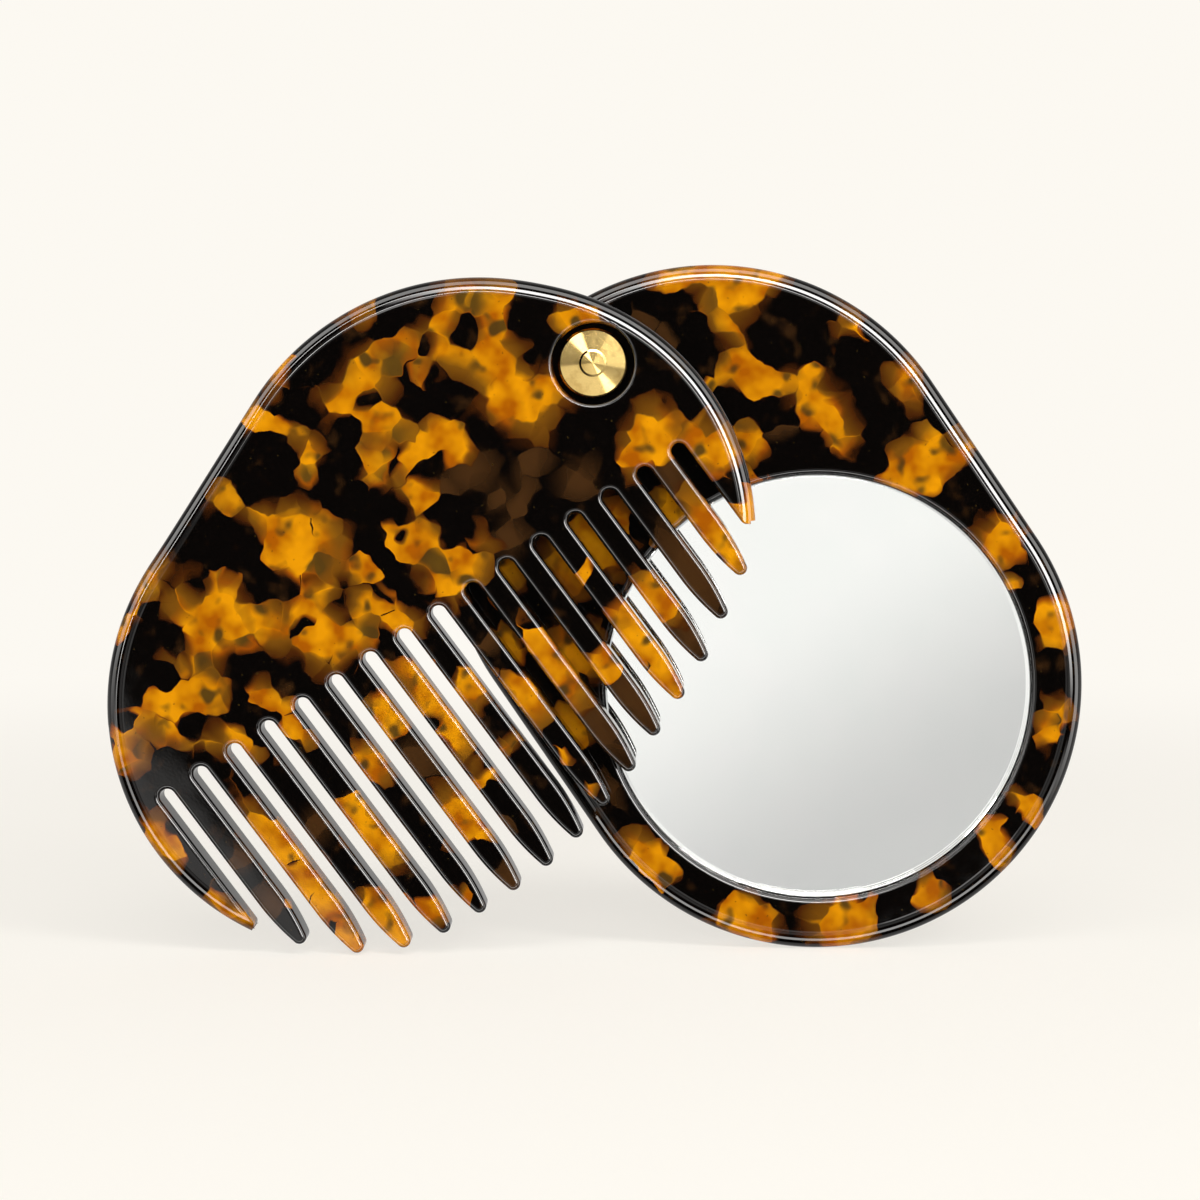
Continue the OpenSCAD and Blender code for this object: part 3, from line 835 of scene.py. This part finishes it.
# Each patch is its middle, its half width and half height in the plate's own frame, and its turn in degrees.
# Within this radius round the pivot the shell is painted dark: painted shade for the shadowed hole of the
# pivot.
combPattern = {
    "paintedShadeRadius": 5.65,
    "amber": [
        (-5.5, 35.2, 2.8, 2, 0), (-17.5, 31.5, 2.8, 1, 30), (-12, 26, 6.5, 2.8, 10), (-7.5, 21, 2.2, 5, 0),
        (-2.2, 18.6, 3, 2.2, -35), (2.5, 26.3, 2.8, 1.8, 0), (0.8, 33, 1, 4, 0), (2.5, 35, 2.4, 1, 0),
        (13.5, 33.8, 2, 1.8, 0), (13.3, 27.5, 1.9, 3, 0), (12.8, 20.8, 4.7, 4.7, 0), (-24, 18.5, 6, 4.6, 0),
        (-28.5, 15, 4.5, 2.2, -30), (-22.5, 12, 4, 5, 0), (-21.5, 6.5, 4.4, 6, 0), (-17, 19, 2.4, 1.6, -40),
        (-34, 5.5, 2, 3, 0), (-10.5, 12, 2.3, 3.2, 0), (-6.5, 14.5, 3.5, 1.3, 0), (-2, 11, 2.6, 1.8, 20),
        (4.2, 7.2, 2.6, 4, 0), (4, 11.5, 1.1, 1.5, 0), (4, 0.5, 4.5, 2.6, 0), (11.5, 12, 1.6, 2.4, 0),
        (14.2, 5.5, 1.8, 3.5, 0), (17, 8.5, 2, 1.5, 0), (20.5, 14.5, 4.5, 3, 0), (22.5, 11.5, 3.8, 4, 0),
        (20, 8, 3, 2.5, 0), (28, 25.5, 4.5, 5.5, 0), (24.5, 19.5, 3, 2.5, 0), (32, 24.5, 3.5, 2, 0),
        (27.5, 30.5, 1.5, 1.8, 0), (22.3, 29.7, 2.8, 1, -40), (29.5, 35.8, 3.5, 1.3, 0),
        (35, 35.5, 2.5, 1, 0), (38.5, 21.8, 4.2, 2.6, 20), (44, 26.5, 4, 2, 35), (50.5, 26.8, 3.8, 2.4, -30),
        (44.8, 20.5, 1.6, 4.5, -15), (36.2, 26.6, 1, 1.6, 0), (33.8, 13, 1.8, 3, 0), (35.5, 9, 1.2, 3, 0),
        (41, 13, 1.2, 3, 0), (58.7, 15.5, 1.8, 4, 20), (62, 1.5, 1.1, 4, 0), (-25, -11.5, 4, 3, 0),
        (-29, -18.5, 3, 4, 0), (42.5, -24.8, 1, 0.8, 0), (18, -25, 0.9, 1, 0), (20.2, -31, 1, 0.8, 0),
        (-4.5, -14, 1.2, 1.2, 0),
    ],
    "teeth": [
        # tooth, and where its amber starts and ends
        (2, 8, -15.5), (3, -13.5, -21), (4, -4, -13), (5, -1.5, -6.5), (6, 0.5, -4.5), (6, -15.5, -22),
        (7, 0, -13), (7, -17, -19), (8, -7, -11), (8, -17, -19.5), (9, -13.5, -20), (10, -11.5, -22.5),
        (11, -21.5, -24.5), (12, -21.5, -34.5), (13, -21.5, -27.5), (15, -21, -32.5), (16, -26, -31),
        (4, -20.5, -23),
    ],
    "murk": [
        (-5, 8.4, 1.6, 1.8, 0), (-13.5, 0.2, 2.8, 1.4, 0), (-7.5, 1.5, 2.2, 1.6, 0), (-8, -1.5, 4, 1.2, 0),
        (-8.5, 6.5, 3, 2.5, 0), (-3.2, -2.8, 2.6, 2.2, 0), (61, 6, 2, 1, 0), (-15.7, -6.3, 2.5, 2.6, 0),
        (30.5, -23, 1.5, 2, 0),
    ],
    "murkyTeeth": [
        (1, 6.5, 3.5), (1, 0, -4), (3, 0, -4), (6, -6.5, -12), (9, -7, -9), (10, -22.5, -33),
        (11, -25, -34), (13, -28, -34), (14, -20, -34), (15, -12, -19), (6, -26, -30),
    ],
    "dark": [
        (-11, 32.2, 8.5, 3.5, 8), (-2.8, 30.5, 2.7, 5.2, 0), (-22, 26.3, 5, 2.6, 40),
        (-20, 21.3, 1.3, 1.5, 0), (-24.5, 17.8, 2.9, 2.9, 0), (-30.5, 11.3, 4, 2.6, -25),
        (-27, 7.5, 2.6, 2.6, 0),
        (-16.8, 14.5, 3.3, 5, 10), (-14.2, 6.3, 3, 5, 8), (-12.5, 17.6, 2.5, 3.2, 0), (-10.9, 5.4, 3, 2.8, 0),
        (-6.7, 11.2, 2.2, 1.7, 20), (-9, 23.4, 0.8, 2.1, -30), (0.6, 22.3, 2.9, 2.1, 0),
        (6.5, 31.3, 5.1, 4.1, 0), (6.8, 26.3, 1.9, 2.6, 0), (5.3, 18.5, 3, 4.6, -20),
        (2.4, 15.3, 2.3, 2.4, 0), (1.4, 12.3, 1.4, 1.7, 0), (8.7, 9.5, 1.8, 5, 5), (-2.2, 5.2, 3.1, 3.1, 0),
        (0.3, 0.8, 1.2, 2.2, 0),
        (-20, -3.5, 6.5, 4.5, 0), (-10, -5.5, 5.5, 4, 20), (19.5, 33, 5, 4.6, -10), (17.4, 28.6, 3, 3.4, 0),
        (20.3, 21.4, 3.1, 4.3, -5), (17.3, 19.2, 0.7, 0.9, 0), (23, 15, 1.7, 1, 25),
        (16.8, 12.2, 2.2, 1.7, -20), (18, 10, 1.1, 1.8, 0), (14.3, 13.3, 1.8, 1.2, 0),
        (13.2, 9, 0.9, 2.5, -15), (14.5, 5.5, 0.8, 0.7, 0),
        (24.5, 9, 1.1, 1.2, 0), (24, 6, 2, 0.8, 0), (29.2, 13.8, 3, 5, -10), (30.5, 7, 2.2, 4, -20),
        (32, 18.6, 2.4, 2.6, 0), (37.3, 16.3, 1.8, 2.7, -15), (42, 19.3, 1.5, 3, -38),
        (33.7, 28.4, 2.1, 3, 10), (40.5, 31.5, 6.5, 3.2, -8), (38.5, 28, 3.2, 2.5, 0),
        (47.2, 28.8, 0.7, 2, 0), (25.3, 30.4, 1.7, 1.7, 0), (27.8, 33.7, 1.1, 0.8, 0),
        (48, 20.2, 3.2, 3, 0), (55, 20.8, 2.7, 2.7, -10), (47.5, 13.8, 3.4, 2.5, -15),
        (53, 12.5, 3.5, 4.5, -20), (36.6, 12, 1, 1.8, 0), (42.6, 7.3, 0.9, 2.2, 0),
        (51.5, -2, 1, 0.8, 0), (55.3, -6.5, 0.9, 0.8, 0), (56, -11, 0.9, 0.8, 0), (23.5, -7.5, 1, 0.9, 0),
        (1.2, -28.7, 1, 0.9, 0), (-17, -29.3, 1, 1, 0), (-20.3, -20, 1, 1.4, 0), (-25.5, -25.5, 1.4, 1.2, 0),
        (9.8, 21.8, 0.5, 1, 30), (10.4, 20.8, 0.4, 0.9, 0), (4.3, 10, 0.5, 0.4, 0),
    ],
    "smoke": [
        (-28.2, 19.2, 1.9, 1.6, 0), (-15.5, 23, 2.8, 3, 0), (-6, 17.8, 3, 1.3, 25), (-3, 22.4, 1.6, 3, -30),
        (5, 3.5, 1, 3, 0), (17.8, 6.3, 1.9, 1.5, 0), (8.8, 17, 1.2, 2.2, 0), (-1.2, 14.8, 2.2, 2.5, 0),
        (13.8, 16, 2, 2.2, 0), (21.3, 27.8, 2.4, 2.6, 0), (24, 33.5, 2.6, 3, 0), (31.5, 33, 2.6, 2.6, 0),
        (36.5, 33.8, 2, 1.5, 0), (29, 19.4, 2.3, 2, 0), (48.2, 24.2, 3, 2.6, 0), (54.3, 24, 1.8, 1.2, 0),
        (61.5, 11.5, 1.3, 3.4, 0), (-7.5, 1.5, 3, 2.4, 0), (-14, 0.3, 2.6, 1.5, 0), (4.4, 24.5, 1.3, 2, 0),
        (34.3, 22.8, 1, 2.4, 20), (9, 33.6, 3.5, 1.5, 0),
    ],
}
mirrorPattern = {
    "paintedShadeRadius": 4.45,
    "amber": [
        (-30.5, -20, 7, 2.2, -60), (-26, -21, 3, 4, 0), (-24.3, -26, 1.3, 2.6, 0), (-21, -18.3, 4, 1.5, 0),
        (-17, -16.5, 3, 2.4, 0), (-14.5, -18, 3.2, 2.2, -20), (-17.6, -12.3, 1.1, 3, 0),
        (-12.5, -20, 2.8, 1.7, -35), (-10, -22.5, 2.8, 2.3, 0), (-5, -22.3, 5.5, 2.5, 0),
        (-1, -22.6, 2.3, 2.1, 0), (-8, -11.2, 2.4, 2.8, 0), (-12.5, -31.6, 1.9, 2.2, 0),
        (-2.3, -34.3, 2.4, 2.6, 20), (8.7, -29.5, 2.9, 5.2, 8), (10, -34.5, 1.9, 2.2, 0),
        (6, -33, 1.6, 1.2, 0), (34, 33, 3.5, 2, 0), (48.5, 27, 4.5, 3, -35), (56.5, 16, 3.5, 4, 0),
        (59.5, 3, 1.8, 1.6, 0), (59, -9, 3, 2, 0), (57, -15, 3, 1.5, 0), (49.5, -24.5, 3, 2, 40),
        (37.5, -33, 2.8, 2.5, 0), (30, -30.8, 1.2, 0.9, 0), (24, -32.5, 3.2, 3.2, 0),
        (-20, 8, 5, 4, 20), (-8, 16, 4, 6, -15), (-28, 14, 3, 5, -30), (3, 24, 4, 3, 0),
        (-14, 27, 5, 2.5, 25), (12, 32, 3, 3, 0), (-4, 4, 4, 2.5, 30), (-33, 3, 1.8, 4, 0),
        (-3, 33, 2.4, 1.8, 0), (-24, 23, 3, 2, 30),
    ],
    "murk": [
        (-16.2, -32.3, 2, 0.8, 0), (-30, -8.6, 2.5, 0.8, 0), (-26, -9.6, 2, 0.7, 0), (22, 32.5, 3, 1, 0),
        (-6, -17, 0.9, 2.6, 0), (41, -32, 2, 1.5, 0), (47, 31, 2, 1.5, 0),
    ],
    "dark": [
        (-20.3, -14.2, 2, 3.3, 0), (-27.5, -12.2, 4.8, 2.7, -10), (-9, -17, 2.6, 3.2, 0),
        (-2.2, -16.2, 3.3, 4.6, 15), (-17.6, -24.3, 5.5, 4.7, 0), (-6, -29, 9.5, 4.1, 0),
        (3.1, -25, 2.8, 3.7, 0), (16, -32, 4.3, 4, 0), (-19.5, -30.8, 4.8, 2.4, -38),
        (-7.2, -34.4, 2.7, 2.4, 0), (8.6, -35, 0.8, 1.5, 0), (-34, -8, 3, 4.5, 0), (4, -17.5, 2.4, 3, 0),
        (41, 32, 1.5, 1.5, 0), (53, 21.5, 2.5, 2, 0), (58.5, -3, 2, 2, 0), (58.5, -12.5, 2, 1.8, 0),
        (54.5, -20, 3.5, 4, 0), (43, -29, 2.5, 2, 0), (32, -32, 1.6, 1.6, 0),
    ],
    "smoke": [
        (-27, -17, 2.6, 1.6, 0), (-14.6, -12.6, 2.6, 2.4, 0), (-10.3, -13, 1.5, 1.5, 0),
        (-22.8, -11, 2.4, 1.4, 0), (-22.8, -21.5, 0.9, 2.5, 0), (2.4, -33.4, 2.8, 2.2, 0),
        (58.5, 10, 2, 2, 0), (49.5, -24.5, 1.6, 1.4, 0),
    ],
}
# Patches for the floor of the pocket, which shows only from behind, laid out as seeds lie in a sunflower
pocketPatches = {
    "count": 26,
    "reach": 27.0,
    "turn": 137.5,
    "widths": (2.2, 3.1, 4.0, 4.9),
    "heights": (1.6, 2.3, 3.0),
    "lean": 50,
}


def toothPatch(k, start, stop):
    # a patch that fills tooth k across, between two heights
    tip = slotRoot(k - 0.5) + tipReach(k) * toothDir
    middle = (start + stop) / 2
    lean = toothDir.x / toothDir.y
    half = (start - stop) / 2 / abs(toothDir.y)
    return (tip.x + (middle - tip.y) * lean, middle, half, shell["toothReach"], toothAngle)


def backPatches(user):
    patches = []
    for k in range(user["count"]):
        away = user["reach"] * math.sqrt((k + 0.5) / user["count"])
        turn = math.radians(user["turn"] * k)
        place = (plates["axisLength"] + away * math.cos(turn), away * math.sin(turn))
        size = (user["widths"][k * 7 % 4], user["heights"][k * 5 % 3])
        patches.append((*place, *size, user["lean"] * k))
    return patches


def nearPatch(tree, place, name, patches):
    # how near a point lies to the patches: under 1 inside one of them
    group = bpy.data.node_groups.new(name, "ShaderNodeTree")
    group.interface.new_socket("Place", in_out="INPUT", socket_type="NodeSocketVector")
    group.interface.new_socket("Near", in_out="OUTPUT", socket_type="NodeSocketFloat")
    source = addNode(group, "NodeGroupInput").outputs[0]
    for k, (u, v, halfWidth, halfHeight, turn) in enumerate(patches):
        if k and k % shell["patchesInTurn"] == 0:
            # a trace of the last result makes these patches wait, which keeps the shader's stack small
            source = vectors(group, "MULTIPLY_ADD", nearest, (0, 0, shell["trace"]), source)
        if turn:
            spot = addNode(group, "ShaderNodeMapping", vector_type="TEXTURE")
            group.links.new(source, spot.inputs["Vector"])
            spot.inputs["Location"].default_value = (u, v, 0)
            spot.inputs["Rotation"].default_value = (0, 0, math.radians(turn))
            spot.inputs["Scale"].default_value = (halfWidth, halfHeight, shell["depthReach"])
            inPatch = spot.outputs[0]
        else:
            share = (1 / halfWidth, 1 / halfHeight, 1 / shell["depthReach"])
            inPatch = vectors(group, "MULTIPLY_ADD", source, share, (-u / halfWidth, -v / halfHeight, 0))
        away = vectors(group, "LENGTH", inPatch)
        nearest = maths(group, "SMOOTH_MIN", nearest, away, shell["blend"]) if k else away
    group.links.new(nearest, addNode(group, "NodeGroupOutput").inputs[0])
    node = addNode(tree, "ShaderNodeGroup", node_tree=group)
    tree.links.new(place, node.inputs[0])
    return node.outputs[0]


def voronoi(tree, place, scale, smoothness):
    node = addNode(tree, "ShaderNodeTexVoronoi", voronoi_dimensions="2D", feature="SMOOTH_F1")
    feed(tree, node.inputs["Vector"], place)
    node.inputs["Scale"].default_value = scale
    node.inputs["Smoothness"].default_value = smoothness
    return node.outputs


def wander(tree, place):
    # places are shifted by clouds and then drawn to the middles of cells, which makes patches angular
    warped = place
    for scale, detail, reach in shell["warps"]:
        shift = vectors(tree, "SUBTRACT", clouds(tree, place, scale, detail, "Color"), (0.5, 0.5, 0.5))
        warped = vectors(tree, "MULTIPLY_ADD", shift, (reach, reach, 0), warped)
    scale, smoothness, pull = shell["cells"]
    cell = voronoi(tree, warped, scale, smoothness)
    inward = vectors(tree, "SUBTRACT", cell["Position"], warped)
    return vectors(tree, "MULTIPLY_ADD", inward, (pull, pull, 0), warped)


def patchesNear(tree, place, name, pattern):
    # how near each place lies to the patches of each kind, and even values for the flake that it is in
    near = {}
    for kind in ("amber", "dark", "smoke", "murk"):
        near[kind] = nearPatch(tree, place, name + "_" + kind, pattern[kind])
        place = vectors(tree, "MULTIPLY_ADD", near[kind], (0, 0, shell["trace"]), place)
    flake = addNode(tree, "ShaderNodeSeparateXYZ")
    tree.links.new(voronoi(tree, place, *shell["flakes"])["Color"], flake.inputs[0])
    return near, flake.outputs


def inPatches(tree, near, flake, grow, sharp):
    # 1 in the patches and 0 outside, with borders that shift by flakes
    field = maths(tree, "SUBTRACT", 1.0 + grow - shell["flakeShare"] / 2, near)
    field = maths(tree, "MULTIPLY_ADD", flake, shell["flakeShare"], field)
    return maths(tree, "MULTIPLY_ADD", field, sharp, 0.5, clamp=True)


def shellColor(tree, place, near, flake):
    softness = blotches(tree, place, *shell["softPlaces"])
    soft, steep = shell["edge"]
    sharp = maths(tree, "MULTIPLY_ADD", softness, soft - steep, steep)
    amberHere = inPatches(tree, near["amber"], flake[0], shell["grow"], sharp)
    darkHere = inPatches(tree, near["dark"], flake[1], 0, sharp)
    smokeHere = maths(tree, "MAXIMUM",
        spread(tree, near["smoke"], *shell["smokeFades"]), blotches(tree, place, *shell["smokyPlaces"]))
    murkHere = maths(tree, "MAXIMUM",
        spread(tree, near["murk"], *shell["murkFades"]), blotches(tree, place, *shell["murkyPlaces"]))
    toneHere = clouds(tree, place, *shell["toneClouds"])
    tone = colorSteps(tree, toneHere, list(zip(shell["toneSteps"], shell["ambers"])))
    smoky = mixColor(tree, maths(tree, "MULTIPLY", smokeHere, shell["smokeCover"]), tone, shell["smoke"])
    ground = mixColor(tree, murkHere, shell["ground"], shell["murk"])
    rim = mixColor(tree, softness, shell["rim"], shell["softRim"])
    shown = maths(tree, "MULTIPLY", amberHere, maths(tree, "SUBTRACT", 1.0, darkHere))
    color = mixColor(tree, spread(tree, shown, *shell["shadeShows"], soft=False), ground, shell["shade"])
    color = mixColor(tree, spread(tree, shown, *shell["rimShows"], soft=False), color, rim)
    color = mixColor(tree, spread(tree, shown, *shell["amberShows"], soft=False), color, smoky)
    specks = blotches(tree, place, *shell["specks"])
    return mixColor(tree, maths(tree, "MULTIPLY", specks, shell["speckCover"]), color, shell["smoke"])


def fromPivot(tree, place, pivot):
    inPlane = vectors(tree, "MULTIPLY_ADD", place, (1, 1, 0), (-pivot[0], -pivot[1], 0))
    return vectors(tree, "LENGTH", inPlane)


def tortoiseshell(name, stanceHere, pattern, pivot):
    material, tree = makeMaterial(name)
    place = localPlace(tree, stanceHere)
    near, flake = patchesNear(tree, wander(tree, place), name, pattern)
    color = shellColor(tree, place, near, flake)
    # painted shade: round the pivot the shell is painted the dark ground colour, standing in for the shadow
    # in its hole
    paintedShadeRadius = pattern["paintedShadeRadius"]
    paintedShadeHere = spread(tree, fromPivot(tree, place, pivot), paintedShadeRadius, paintedShadeRadius - shell["paintedShadeFade"])
    color = mixColor(tree, paintedShadeHere, color, shell["ground"])
    roughness = blotches(tree, place, *shell["roughness"])
    ripple = clouds(tree, place, *shell["ripple"])
    relief = maths(tree, "MULTIPLY_ADD", ripple, shell["rippleShare"], clouds(tree, place, *shell["swell"]))
    finishShader(tree, color, roughness, relief, shell["relief"], IOR=shell["ior"])
    return material


combPattern["amber"] += [toothPatch(*stretch) for stretch in combPattern["teeth"]]
combPattern["murk"] += [toothPatch(*stretch) for stretch in combPattern["murkyTeeth"]]
mirrorPattern["amber"] += backPatches(pocketPatches)
for piece, finish in (
    (combPiece, tortoiseshell("comb_acetate", combStance, combPattern, stance["combPivot"])),
    (mirrorPiece, tortoiseshell("mirror_acetate", mirrorStance, mirrorPattern, stance["framePivot"])),
):
    piece.data.materials.clear()
    piece.data.materials.append(finish)

print("mirror")
mirror = {
    "middle": (plates["axisLength"], 0),  # in the plate's own frame, in millimetres
    "radius": 30 * mm,
    "face": 0.7 * mm,
    "back": 2.68 * mm,
    "bevel": 0.25 * mm,
    "bevelSteps": 2,
    "sides": 192,
    "smoothAngle": 15,
    "haze": (0.4, 4, 0.45, 0.75, 0.0, 0.012),
    "tints": ((1.0, 1.0, 1.0), (0.985, 0.998, 0.99)),
    "tintClouds": (0.1, 2),
    "waves": (0.08, 1),
    "waveHeight": 0.002,
    "ior": 1.5,
}


def addGlass(user):
    bpy.ops.object.select_all(action="DESELECT")
    depth = user["back"] - user["face"]
    middle = mirrorStance @ (Vector((*user["middle"], 0)) * mm)
    middle.y = user["face"] + depth / 2
    bpy.ops.mesh.primitive_cylinder_add(
        vertices=user["sides"], radius=user["radius"], depth=depth,
        location=middle, rotation=(math.pi / 2, 0, 0)
    )
    piece = bpy.context.object
    piece.name = "mirror_disc"
    bpy.ops.object.transform_apply(location=True, rotation=True, scale=True)
    bevel = piece.modifiers.new("bevel", "BEVEL")
    bevel.width = user["bevel"]
    bevel.segments = user["bevelSteps"]
    bevel.limit_method = "ANGLE"
    bevel.angle_limit = math.radians(60)
    bpy.ops.object.modifier_apply(modifier=bevel.name)
    bpy.ops.object.shade_smooth_by_angle(angle=math.radians(user["smoothAngle"]))
    return piece


glassPiece = addGlass(mirror)
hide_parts("mirror_glass")
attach(glassPiece, "mirror_side")


def glassFinish(user):
    material, tree = makeMaterial("float_glass")
    place = localPlace(tree, mirrorStance)
    roughness = blotches(tree, place, *user["haze"])
    tint = mixColor(tree, clouds(tree, place, *user["tintClouds"]), *user["tints"])
    waves = clouds(tree, place, *user["waves"])
    finishShader(tree, tint, roughness, waves, user["waveHeight"], IOR=user["ior"], Transmission_Weight=1.0)
    return material


glassPiece.data.materials.append(glassFinish(mirror))

print("metal, paint, pad and washers")
# Turned metals have a bright and a dull colour, roughness, and the scale and detail of their rings
turnedMetals = {
    "brass": {"colors": ((0.84, 0.60, 0.22), (0.66, 0.45, 0.15)), "roughness": (0.05, 0.09), "rings": (9, 2)},
    "steel": {"colors": ((0.58, 0.58, 0.57), (0.44, 0.44, 0.44)), "roughness": (0.2, 0.34), "rings": (7, 2)},
}
# A dome of this radius and slope in the head's bump lets its cone run on over the small flat in its middle
turnedMetals["brass_head"] = {**turnedMetals["brass"], "dome": (1.9, 0.14)}
lathe = {
    "stains": (0.7, 3, 0.4, 0.75),
    "ringShows": (0.3, 0.7),
    "ringHeight": 0.0006,
    "anisotropy": 0.2,
}


def turnedMetal(name, metal):
    # turned on a lathe: fine rings round the axis, which spread the light across them
    user = turnedMetals[metal]
    material, tree = makeMaterial(name)
    place = localPlace(tree, mirrorStance)
    away = fromPivot(tree, place, stance["framePivot"])
    along = addNode(tree, "ShaderNodeCombineXYZ")
    tree.links.new(away, along.inputs[0])
    rings = clouds(tree, along.outputs[0], *user["rings"])
    color = mixColor(tree, blotches(tree, place, *lathe["stains"]), *user["colors"])
    roughness = spread(tree, rings, *lathe["ringShows"], *user["roughness"])
    relief = maths(tree, "MULTIPLY", rings, lathe["ringHeight"])
    if "dome" in user:
        radius, slope = user["dome"]
        rise = maths(tree, "MAXIMUM", maths(tree, "SUBTRACT", radius, away), 0.0)
        relief = maths(tree, "MULTIPLY_ADD", rise, slope, relief)
    shader = finishShader(tree, color, roughness, relief, 1.0, Metallic=1.0, Anisotropic=lathe["anisotropy"])
    tangent = addNode(tree, "ShaderNodeTangent", direction_type="RADIAL", axis="Y")
    tree.links.new(tangent.outputs[0], shader.inputs["Tangent"])
    return material


# Plain stuffs have two colours, the scale of their clouds, roughness, and the grain's scale and height
stuffs = {
    "silvering": {
        "colors": ((0.995, 0.995, 0.99), (0.98, 0.985, 0.98)), "clouds": 0.12, "roughness": (0.004, 0.016),
        "grain": (0.5, 0.0005), "metallic": 1.0,
    },
    "backing_paint": {
        "colors": ((0.13, 0.135, 0.14), (0.075, 0.08, 0.085)), "clouds": 0.25, "roughness": (0.45, 0.65),
        "grain": (4, 0.02), "metallic": 0.0,
    },
    "adhesive": {
        "colors": ((0.74, 0.70, 0.61), (0.60, 0.56, 0.46)), "clouds": 0.4, "roughness": (0.6, 0.85),
        "grain": (2, 0.12), "metallic": 0.0,
    },
    "nylon": {
        "colors": ((0.83, 0.81, 0.74), (0.74, 0.71, 0.62)), "clouds": 0.5, "roughness": (0.38, 0.55),
        "grain": (5, 0.02), "metallic": 0.0,
    },
}
plainFinish = {
    "mottle": (3, 0.35, 0.65),
    "polish": (3, 0.3, 0.7),
    "polishScale": 3,
    "grainDetail": 2,
}


def stuff(name):
    user, shared = stuffs[name], plainFinish
    material, tree = makeMaterial(name)
    place = localPlace(tree, mirrorStance)
    color = mixColor(tree, blotches(tree, place, user["clouds"], *shared["mottle"]), *user["colors"])
    polishScale = user["clouds"] * shared["polishScale"]
    roughness = blotches(tree, place, polishScale, *shared["polish"], *user["roughness"])
    scale, height = user["grain"]
    grain = clouds(tree, place, scale, shared["grainDetail"])
    finishShader(tree, color, roughness, grain, height, Metallic=user["metallic"])
    return material


steel = turnedMetal("spring_steel", "steel")
nylon = stuff("nylon")
dress = {
    "mirror_silvering": stuff("silvering"),
    "mirror_backing_paint": stuff("backing_paint"),
    "mirror_adhesive": stuff("adhesive"),
    "pivot_post": turnedMetal("turned_brass_head", "brass_head"),
    "spring_washer": steel,
    "front_washer": nylon,
    "plate_washer": nylon,
    "rear_washer": steel,
    "pivot_screw": turnedMetal("turned_brass", "brass"),
}
for nodeName, finish in dress.items():
    slots = frame["nodes"][nodeName].data.materials
    slots.clear()
    slots.append(finish)
